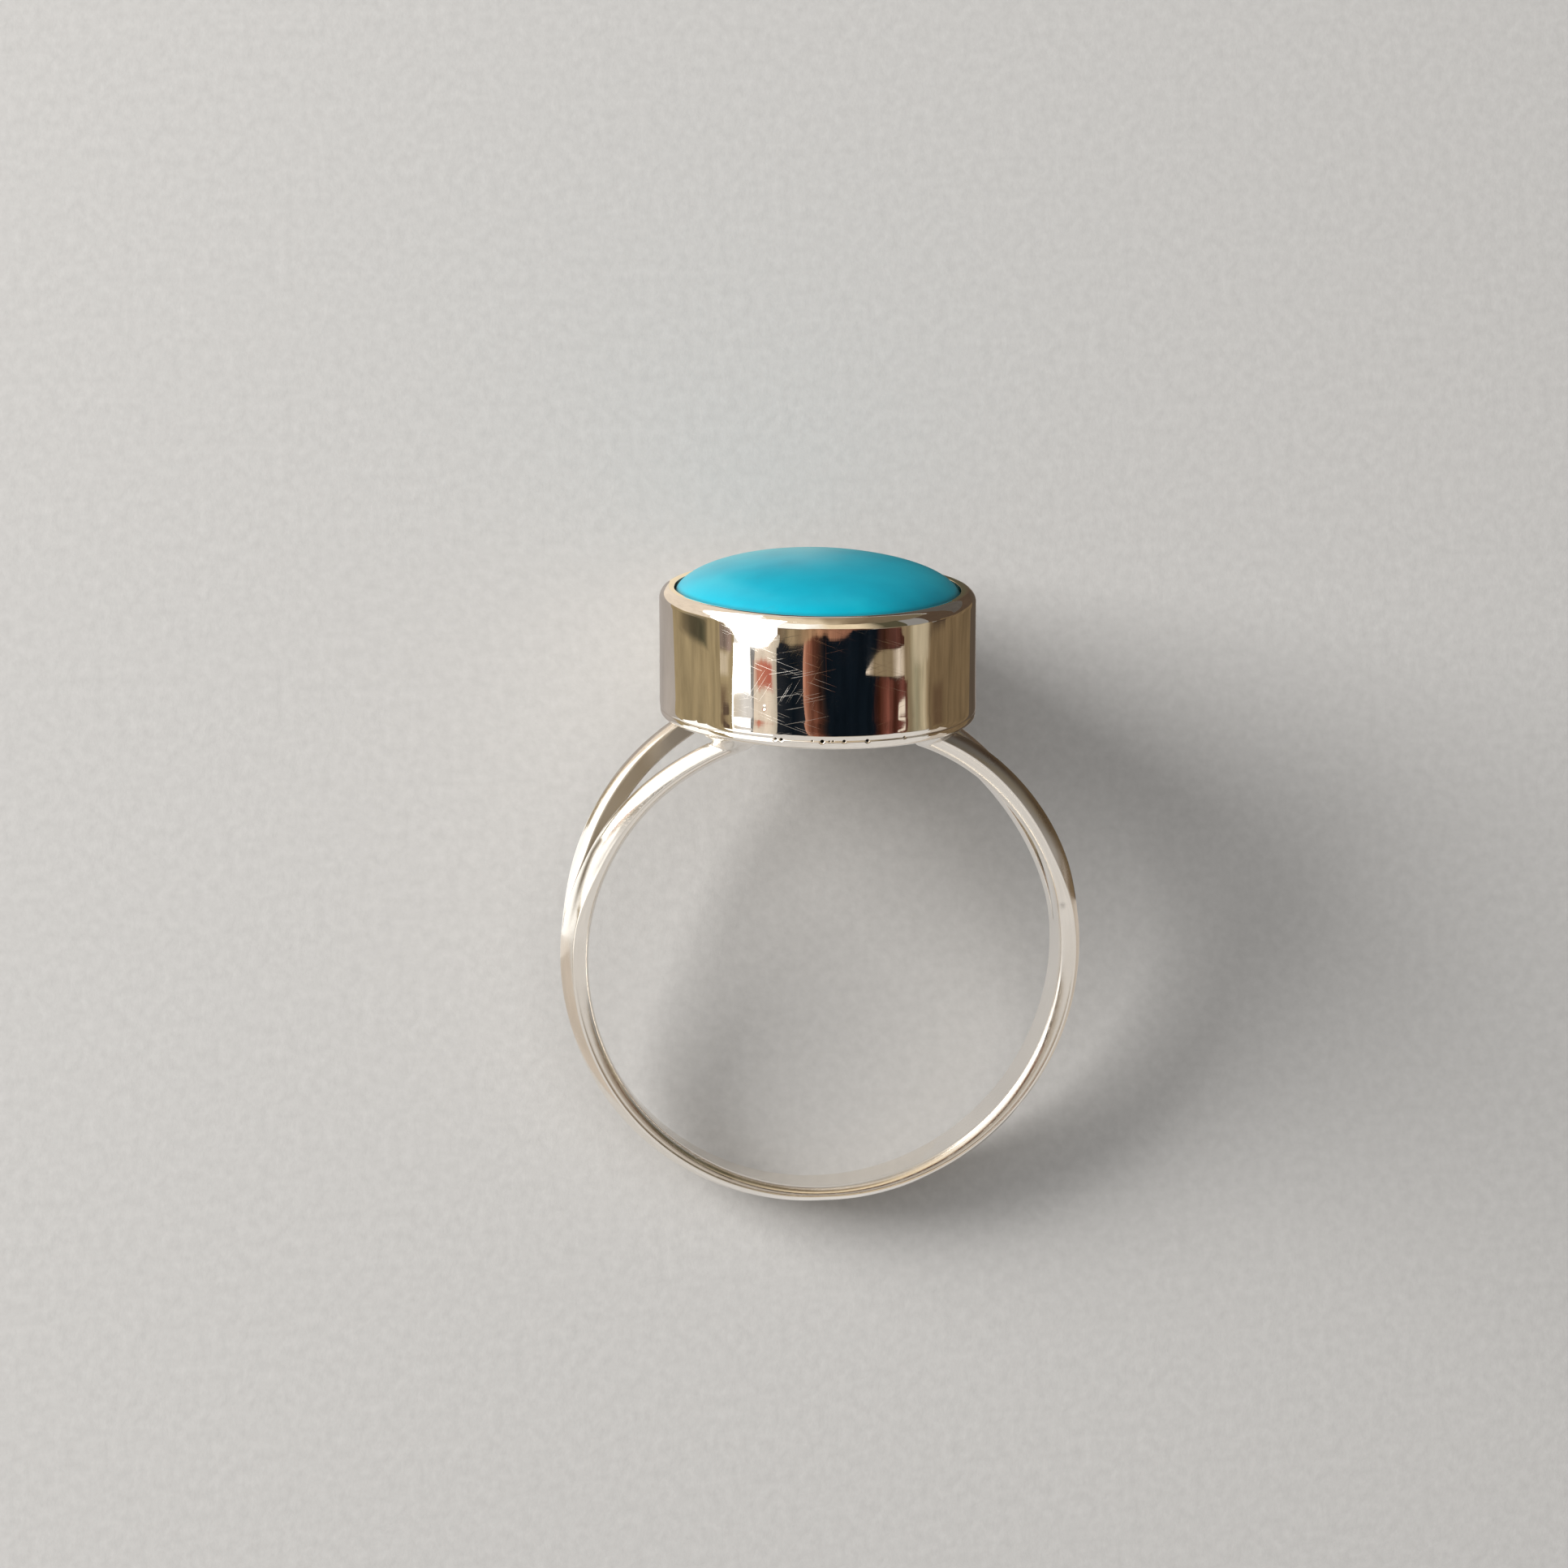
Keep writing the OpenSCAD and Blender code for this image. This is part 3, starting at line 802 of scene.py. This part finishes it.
# %% [markdown]
# Floor, light and cards
#
# Polished silver shows nothing but its surroundings, so a jewellery photographer builds them: a pale floor,
# a large soft light, and cards just out of the picture. The cards here are seen only in reflections. Most
# are bent round the cup like a piece of an upright cylinder, and the others lie on the floor or stand square
# to it. A card's colours run from its left to its right, and a soft card fades out towards its edges.

# %% Floor
FLOOR = 1.2
FLOOR_DEEP, FLOOR_LIGHT = (0.55, 0.541, 0.53), (0.61, 0.6, 0.588)
scene = bpy.context.scene
floor_mesh = bpy.data.meshes.new("floor")
floor_corners = [(-FLOOR, -FLOOR, 0), (FLOOR, -FLOOR, 0), (FLOOR, FLOOR, 0), (-FLOOR, FLOOR, 0)]
floor_mesh.from_pydata(floor_corners, [], [(0, 1, 2, 3)])
floor = bpy.data.objects.new("floor", floor_mesh)
scene.collection.objects.link(floor)
floor_material, shader, add, tree = new_material("pale_floor")
place = add("TexCoord").outputs["Object"]
speck = cloudy(add, place, 2500.0, 4.0, 0.6)
tree.links.new(ramp(add, speck, [(0.3, FLOOR_DEEP), (0.7, FLOOR_LIGHT)]), shader.inputs["Base Color"])
shader.inputs["Roughness"].default_value = 1.0
shader.inputs["Specular IOR Level"].default_value = 0.0
tree.links.new(bumped(add, speck, 2e-5, 0.6), shader.inputs["Normal"])
floor.data.materials.append(floor_material)
print("floor is", 2 * FLOOR, "m wide")


# %% How a card glows
RAGGED_MIDDLE = 0.55


def glowing(name, colours, strength, clouds, soft, fray):
    """A plain glow whose colour runs from left to right through colours, a little uneven. Where soft is over
    0 it fades out towards its edges, over that share of its half width, and fray says how ragged they
    are."""
    material, shader, add, tree = new_material(name)
    across = carried(add, "across")
    colours = colours if len(colours) > 1 else colours * 2
    colour = ramp(add, across, [(k / (len(colours) - 1), c) for k, c in enumerate(colours)])
    place = add("TexCoord").outputs["Object"]
    uneven = cloudy(add, place, 260.0, 4.0, 0.6)
    power = ranged(add, uneven, 0.3, 0.7, strength * (1 - clouds), strength * (1 + clouds))
    glow = add("Emission", {"Color": colour, "Strength": power}).outputs["Emission"]
    if soft:
        ragged = counted(add, "MULTIPLY_ADD", uneven, fray, carried(add, "inside"))
        start = RAGGED_MIDDLE * fray
        share = ranged(add, ragged, start, start + soft, interpolation_type="SMOOTHSTEP")
        clear = add("BsdfTransparent").outputs["BSDF"]
        glow = add("MixShader", {0: share, 1: clear, 2: glow}).outputs["Shader"]
    tree.links.new(glow, tree.nodes["Material Output"].inputs["Surface"])
    return material


print("cards glow by themselves")


# %% How a card is made
def card(name, points, across, colours, strength=1.0, clouds=0.12, soft=0.0, fray=0.9):
    """A card from a grid of worn points in mm, with across from 0 at its left to 1 at its right. Inside is
    the distance to its nearest edge, from 0 there to 1 in its middle. It shows in reflections only."""
    name = "card_" + name
    rows, columns = points.shape[:2]
    mesh = bpy.data.meshes.new(name)
    mesh.from_pydata(lay_down(points.reshape(-1, 3)).tolist(), [], grid_faces(rows, columns, False).tolist())
    from_edge = [1 - np.abs(np.linspace(-1, 1, n)) for n in (rows, columns)]
    inside = np.minimum(from_edge[0][:, None], from_edge[1][None, :])
    for label, values in (("across", np.broadcast_to(across, (rows, columns))), ("inside", inside)):
        layer = mesh.attributes.new(label, "FLOAT", "POINT")
        layer.data.foreach_set("value", values.astype(np.float32).ravel())
    mesh.materials.append(glowing(name, colours, strength, clouds, soft, fray))
    thing = bpy.data.objects.new(name, mesh)
    scene.collection.objects.link(thing)
    thing.visible_camera = thing.visible_diffuse = thing.visible_shadow = False
    thing.visible_transmission = thing.visible_volume_scatter = False
    return thing


print("cards are seen in reflections only")

# %% Card shapes
CARD_R, CARD_STEP, CARD_ROWS = 40.0, 1.5, 9
STEPS_ACROSS = np.linspace(0, 1, CARD_ROWS)


def round_card(name, edges, colours, strength=1.0, radius=CARD_R, clouds=0.12, sway=(0, 0), soft=0.0,
               fray=0.9):
    """A card on an upright cylinder round the cup. Each edge is (azimuth, low, high): degrees from the front
    towards the right, and heights towards the stone in mm. Between them its lower and upper edges run
    straight. With t from 0 below to 1 above, it leans sideways by sway[0] t + sway[1] t^2 degrees."""
    edges = np.array(edges, float)
    steps = 2 + int((edges[-1, 0] - edges[0, 0]) / CARD_STEP)
    azimuth = np.linspace(edges[0, 0], edges[-1, 0], steps)
    low, high = (np.interp(azimuth, edges[:, 0], edges[:, k]) for k in (1, 2))
    t = STEPS_ACROSS[None, :]
    turn = np.radians(azimuth[:, None] + sway[0] * t + sway[1] * t ** 2)
    height = mix(low[:, None], high[:, None], t)
    points = np.stack([BEZEL_SHIFT + radius * np.sin(turn), radius * np.cos(turn), height], -1)
    return card(name, points, np.linspace(0, 1, steps)[:, None], colours, strength, clouds, soft, fray)


def lying_card(name, x, y, z, colours, strength=1.0, clouds=0.12, soft=0.0, fray=0.15, slant=0.0):
    """A card square to the floor. Of x, y and z, in mm, one is a number and the others run (from, to). Slant
    moves it along y by that many mm for each mm of x."""
    runs = [np.linspace(*v, CARD_ROWS) for v in (x, y, z) if not np.isscalar(v)]
    a, b = np.meshgrid(*runs, indexing="ij")
    grid = iter((a, b))
    lying = np.stack([np.full_like(a, v) if np.isscalar(v) else next(grid) for v in (x, y, z)], -1)
    lying[..., 1] += slant * (lying[..., 0] - lying[0, 0, 0])
    worn = (lying - centre) @ axes.T
    return card(name, worn, STEPS_ACROSS[:, None], colours, strength, clouds, soft, fray)


def flat_card(name, level, half_width, back_edge, front_edge, colours, strength=1.0):
    """A card square to the stone's direction, at a level in mm."""
    runs = np.linspace(-half_width, half_width, CARD_ROWS), np.linspace(back_edge, front_edge, CARD_ROWS)
    x, f = np.meshgrid(*runs, indexing="ij")
    return card(name, np.stack([x, f, np.full_like(x, level)], -1), STEPS_ACROSS[:, None], colours, strength)


print("cards are round, lying or flat")

# %% Card colours
NAVY, DARK, DOME_DARK = (0.004, 0.007, 0.011), (0.020, 0.022, 0.027), (0.10, 0.09, 0.08)
BROWN, RUST, BROWN_BACK = (0.060, 0.024, 0.015), (0.055, 0.017, 0.010), (0.09, 0.068, 0.05)
CREAM, PALE, WHITE = (0.74, 0.64, 0.53), (0.66, 0.64, 0.62), (1.0, 0.99, 0.96)
TAN, DEEP_TAN = (0.33, 0.26, 0.15), (0.165, 0.115, 0.064)
UMBER, LOW_UMBER = (0.085, 0.058, 0.040), (0.115, 0.073, 0.042)
WEDGE, OLIVE, RIM_CREAM = (0.25, 0.19, 0.115), (0.075, 0.068, 0.042), (0.74, 0.62, 0.44)
LIMB, LIMB_RIGHT = (0.40, 0.36, 0.33), (0.25, 0.215, 0.19)
LIMB_LOW, LIMB_MID = (0.56, 0.49, 0.42), (0.74, 0.68, 0.61)
LIGHT_LOW, LIGHT_BLOT = (0.50, 0.44, 0.38), (0.58, 0.49, 0.36)
print("the darkest card is", NAVY, "and the lightest", WHITE)

# %% Runs of colours, from a card's left to its right
STRIPE_RUN = [(0.50, 0.25, 0.17), (0.26, 0.105, 0.066), (0.17, 0.064, 0.04), (0.12, 0.045, 0.028),
              (0.06, 0.024, 0.016), (0.02, 0.014, 0.013), NAVY]
TOP_RUN = [(0.24, 0.19, 0.115), (0.27, 0.20, 0.12), (0.36, 0.225, 0.13), (0.34, 0.18, 0.105),
           (0.28, 0.135, 0.085), (0.22, 0.10, 0.064), (0.09, 0.043, 0.028), (0.05, 0.025, 0.017)]
RUST_RUN = [NAVY, RUST, (0.16, 0.055, 0.04), RUST, (0.13, 0.045, 0.035), RUST]
SAGE_RUN = [WEDGE, WEDGE, (0.22, 0.165, 0.1), (0.23, 0.18, 0.11), (0.33, 0.285, 0.19), (0.27, 0.245, 0.165),
            (0.31, 0.27, 0.18), (0.43, 0.37, 0.25), (0.46, 0.39, 0.27), WEDGE, (0.20, 0.15, 0.09)]
ABOVE_LIGHT, ABOVE_DARK = (0.74, 0.62, 0.46), (0.16, 0.13, 0.085)
ABOVE_RUN = [ABOVE_LIGHT, ABOVE_LIGHT, (0.80, 0.68, 0.51), ABOVE_LIGHT, (0.33, 0.26, 0.17),
             (0.19, 0.14, 0.09), ABOVE_DARK, ABOVE_DARK, ABOVE_DARK]
print("the longest run has", len(SAGE_RUN), "colours")

# %% Cards in front of the cup
front_cards = [
    round_card("dark_back",
        [(-56, 3.3, 6.4), (-50, 3.0, 6.9), (-34, 2.9, 7.2), (0, 2.9, 7.6), (40, 3.0, 7.6), (56, 3.5, 7.0)],
        [DARK, BROWN, NAVY, NAVY, BROWN], radius=41.0),
    round_card("dark_left", [(-57.5, 2.9, 6.9), (-50, 2.8, 7.1), (-28, 2.8, 7.25)], [DARK, NAVY, DARK],
        soft=0.12),
    round_card("brown_stripe", [(-23.5, 2.7, 7.3), (-19.5, 2.7, 7.4), (-4, 2.7, 7.9)], STRIPE_RUN,
        clouds=0.6, radius=39.7, sway=(-30, 21)),
    round_card("brown_top", [(-52, 6.9, 7.5), (-43, 6.85, 8.2), (-34, 6.9, 10), (-26, 7.05, 13),
         (-14, 7.18, 13), (-4, 7.3, 13), (5, 7.45, 12), (14, 7.75, 12), (27, 7.9, 9)], TOP_RUN, clouds=0.4,
        radius=39.5, soft=0.08, fray=0.25),
    round_card("navy", [(-14, 2.7, 7.5), (0, 2.8, 7.6), (21, 2.8, 7.7), (30, 2.8, 7.75)], [NAVY],
        clouds=0.3, radius=39.9),
    round_card("rust_top", [(26, 6.3, 8.6), (36, 6.4, 8.3), (46, 6.7, 8.0), (56, 6.9, 7.6)],
        [NAVY, BROWN, (0.11, 0.045, 0.035), RUST], clouds=0.4, radius=39.55, soft=0.12),
    round_card("wedge", [(19, 6.02, 6.1), (27, 5.75, 6.5), (36, 5.6, 6.6), (57, 5.4, 6.9)],
        [CREAM, WEDGE, WEDGE, WEDGE, CREAM, WEDGE], radius=39.5, clouds=0.25),
    round_card("rust", [(25, 3.0, 5.9), (36, 2.9, 5.75), (50, 3.0, 5.5), (60, 3.2, 5.2)], RUST_RUN,
        clouds=0.45, radius=39.55, sway=(-2, 2), soft=0.12),
    round_card("cream_sliver", [(48, 3.6, 4.3), (57, 3.7, 4.45)], [CREAM], radius=39.4, soft=0.35,
        fray=0.5),
    round_card("cream_left", [(-75, 2.0, 6.7), (-55, 2.0, 7.0)], [CREAM, CREAM, (0.5, 0.45, 0.37)], 1.0,
        sway=(0, 2), clouds=0.25, radius=41.5),
    round_card("rose", [(-76, 4.5, 6.0), (-67, 4.6, 6.2), (-56, 4.7, 6.1)],
        [(0.55, 0.25, 0.17), (0.45, 0.10, 0.07)], radius=39.0, soft=0.45),
    round_card("sage", [(53, 1.8, 9.5), (86, 1.8, 9.5)], SAGE_RUN, radius=42.0, sway=(-3, 3), clouds=0.25),
    round_card("sage_top", [(63, 5.3, 8.8), (84, 5.3, 8.8)], [(0.44, 0.38, 0.27), (0.48, 0.41, 0.29)],
        radius=40.2, soft=0.5, fray=0.6),
    round_card("white_strip", [(-89.5, 2.0, 6.4), (-76.5, 2.0, 6.5)], [WHITE], 2.2, sway=(1, -1)),
    round_card("cream_break", [(-89.5, 3.1, 4.3), (-73, 3.3, 4.6)], [(0.5, 0.43, 0.33), PALE, PALE], 1.1,
        radius=39.4, soft=0.3),
    round_card("window", [(-107, 12, 58), (-101, 8.9, 58), (-96, 7.3, 58), (-90, 7.0, 58), (-86, 6.7, 58),
         (-74, 6.5, 58), (-63.5, 6.77, 58), (-55, 7.4, 58)], [WHITE], 3.4, 39.0),
    round_card("rosy_blot", [(-103, 6.0, 7.6), (-88.5, 6.0, 7.3)],
        [(0.20, 0.16, 0.125), (0.30, 0.22, 0.19)], clouds=0.35, radius=38.9, soft=0.5, fray=0.5),
    round_card("window_high", [(-150, 28, 90), (-107, 28, 90)], [WHITE], 1.8, 39.0),
    round_card("window_foot", [(-120, -4.2, 1.6), (-60, -4.2, 1.6)], [WHITE], 1.5),
    round_card("cream_above", [(-58, 8.3, 60), (62, 8.3, 60)],
        [WHITE, WHITE, RIM_CREAM, RIM_CREAM, OLIVE, OLIVE], 1.1, 60.0),
]
print(len(front_cards), "cards in front")

# %% Cards at the sides, below and above
around_cards = [
    lying_card("tan_back_left", (-24, -10.8), (4.0, 13), 0.2, [TAN], clouds=0.25),
    lying_card("tan_far_left", (-60, -24), (-8, 13), 0.2, [TAN], clouds=0.25),
    lying_card("limb_left", (-10.8, -4.5), (4.9, 13), 0.25, [LIMB]),
    lying_card("limb_low", (-16, -9.4), (-16, -2.4), 0.25, [LIMB_LOW]),
    lying_card("limb_mid", (-16, -8.9), (-2.4, -1.4), 0.25, [LIMB_MID]),
    lying_card("cream_back_left", (-60, -4.5), (13, 45), 0.2, [CREAM], 1.1),
    lying_card("white_far_left", (-60, -20), (22, 60), 0.4, [WHITE], 2.6, soft=0.3),
    lying_card("olive_blot", (-28.5, -11), (6.2, 7.75), 0.4,
        [OLIVE, OLIVE, (0.10, 0.082, 0.05), (0.17, 0.125, 0.072)], 1.08, clouds=0.3, soft=0.6, slant=0.178),
    lying_card("grey_blot", (-28.5, -14.5), (7.5, 9.4), 0.45, [(0.20, 0.17, 0.13), (0.23, 0.20, 0.16)],
        clouds=0.3, soft=0.5, slant=0.178),
    round_card("brown_blot", [(-107, 3.2, 5.0), (-90, 3.1, 4.9)], [(0.24, 0.17, 0.10), (0.17, 0.115, 0.07)],
        clouds=0.4, radius=38.8, soft=0.7, fray=0.6),
    round_card("umber_specks", [(-97, 3.0, 4.1), (-90.5, 2.9, 4.0)], [UMBER], 1.2, clouds=0.5, radius=38.75,
        soft=0.3),
    round_card("light_blot", [(-107, 4.95, 6.4), (-90.5, 4.9, 6.3)], [LIGHT_BLOT], clouds=0.2, radius=38.7,
        soft=0.5, fray=0.4),
    lying_card("white_back_left", (-24, -8.9), (-1.4, 4.0), 0.2, [WHITE], 1.2),
    lying_card("white_upright", -12.0, (-1.4, 4.7), (0, 5.2), [WHITE], 1.2),
    lying_card("limb_right", (3.5, 8.5), (4, 12), 0.2, [LIMB_RIGHT]),
    lying_card("brown_back_right", (8.5, 12.4), (-0.8, 14), 0.2, [BROWN_BACK]),
    lying_card("light_low_right", (9.4, 75), (-16, -0.8), 0.2, [LIGHT_LOW]),
    lying_card("tan_back_right", (12.4, 75), (-0.8, 12.5), 0.2, [DEEP_TAN], clouds=0.25),
    lying_card("umber_back_right", (8.5, 75), (12.5, 60), 0.2, [UMBER]),
    round_card("umber_blot", [(80, 6.6, 9.6), (112, 6.6, 9.6)], [UMBER], 0.7, 38.0, soft=0.6, fray=0.4),
    round_card("umber_blot_low", [(84, 3.2, 5.0), (101, 3.2, 5.0)], [LOW_UMBER], 1.0, 38.0, soft=0.7,
        fray=0.4),
    lying_card("bore", (-2, 8.3), (-9, 3.9), 0.2, [PALE], 0.8),
    lying_card("rim", (-4.5, 8.5), (12.0, 17), 0.25,
        [RIM_CREAM, RIM_CREAM, RIM_CREAM, RIM_CREAM, WEDGE, OLIVE, OLIVE, UMBER], 1.2),
    lying_card("dome", (-4, 30), (17, 38), 0.3, [DOME_DARK]),
    round_card("tan_left", [(-120, -3, 7.4), (-89.5, -3, 7.0)], [TAN], 1.0, 42.0, clouds=0.25),
    round_card("tan_right", [(84, -3, 7.6), (120, -3, 7.2)], [DEEP_TAN], 1.0, 42.0, clouds=0.25),
    round_card("umber_right", [(84, 7.6, 60), (150, 7.2, 60)], [UMBER], 1.0, 60.5),
    flat_card("table", -9.5, 90, -1, 85, [PALE]),
    round_card("far", [(-60, -45, 25), (60, -45, 25)],
        [DEEP_TAN, (0.45, 0.40, 0.34), (0.40, 0.35, 0.29), DEEP_TAN], 1.0, 140.0),
    flat_card("above", 75, 80, -40, 80, ABOVE_RUN),
]
print(len(around_cards), "cards around")


# %% Lights and surroundings
def soft_light(name, direction, distance, size, watts, colour=(1, 1, 1)):
    """A square light that looks at the ring from a direction in the lying frame, with its sizes in
    metres."""
    data = bpy.data.lights.new(name, "AREA")
    data.shape, data.size, data.size_y, data.energy, data.color = "RECTANGLE", size, size, watts, colour
    lamp = bpy.data.objects.new(name, data)
    scene.collection.objects.link(lamp)
    way = Vector(direction).normalized()
    lamp.location = way * distance
    lamp.rotation_mode = "QUATERNION"
    lamp.rotation_quaternion = way.to_track_quat("Z", "Y")
    lamp.visible_glossy = False
    return lamp


key = soft_light("key", (-0.9, 0.36, 0.42), distance=0.45, size=0.26, watts=3.3, colour=(1.0, 0.985, 0.96))
fill = soft_light("fill", (-0.1, 0.25, 1.0), distance=0.6, size=0.5, watts=0.7)
world = bpy.data.worlds.new("studio")
world.use_nodes = True
background = world.node_tree.nodes["Background"]
background.inputs["Color"].default_value = (0.80, 0.785, 0.765, 1)
background.inputs["Strength"].default_value = 0.32
scene.world = world
scene.view_settings.view_transform = "Standard"
print("lights:", key.name, fill.name, "and the pale surroundings")

# %% [markdown]
# The camera
#
# The photograph looks along the finger from a little to the left and above, from about 22 cm, so a long lens
# is fitted to a camera at the same place by the ring. Lying down, that place is above the floor. The middle
# of the picture isn't the middle of the bore, so the eye is moved a little to the left and up.

# %% Camera
AZIMUTH, ELEVATION, ROLL = math.radians(9), math.radians(10.06), math.radians(-0.126)
DISTANCE, EYE_LEFT, EYE_UP, VIEW_WIDTH, SENSOR = 220.0, 1.306, 5.884, 55.806, 36.0
level_back = np.array([-math.sin(AZIMUTH), math.cos(AZIMUTH), 0])
straight_up = np.array([0, 0, 1])
back = level_back * math.cos(ELEVATION) + straight_up * math.sin(ELEVATION)
above = -level_back * math.sin(ELEVATION) + straight_up * math.cos(ELEVATION)
sideways = np.array([math.cos(AZIMUTH), math.sin(AZIMUTH), 0])
eye = back * DISTANCE - sideways * EYE_LEFT + above * EYE_UP
turned_right = math.cos(ROLL) * sideways + math.sin(ROLL) * above
turned_up = -math.sin(ROLL) * sideways + math.cos(ROLL) * above
camera_data = bpy.data.cameras.new("camera")
camera_data.sensor_width, camera_data.lens = SENSOR, SENSOR * DISTANCE / VIEW_WIDTH
camera_data.clip_start, camera_data.clip_end = 0.01, 10.0
camera = bpy.data.objects.new("camera", camera_data)
scene.collection.objects.link(camera)
turn = Matrix([list(row) for row in np.stack([turned_right @ axes, turned_up @ axes, back @ axes], -1)])
camera.matrix_world = Matrix.Translation(lay_down(eye).tolist()) @ turn.to_4x4()
scene.camera = camera
print("camera is", round(float(lay_down(eye)[2]), 3), "m above the floor")
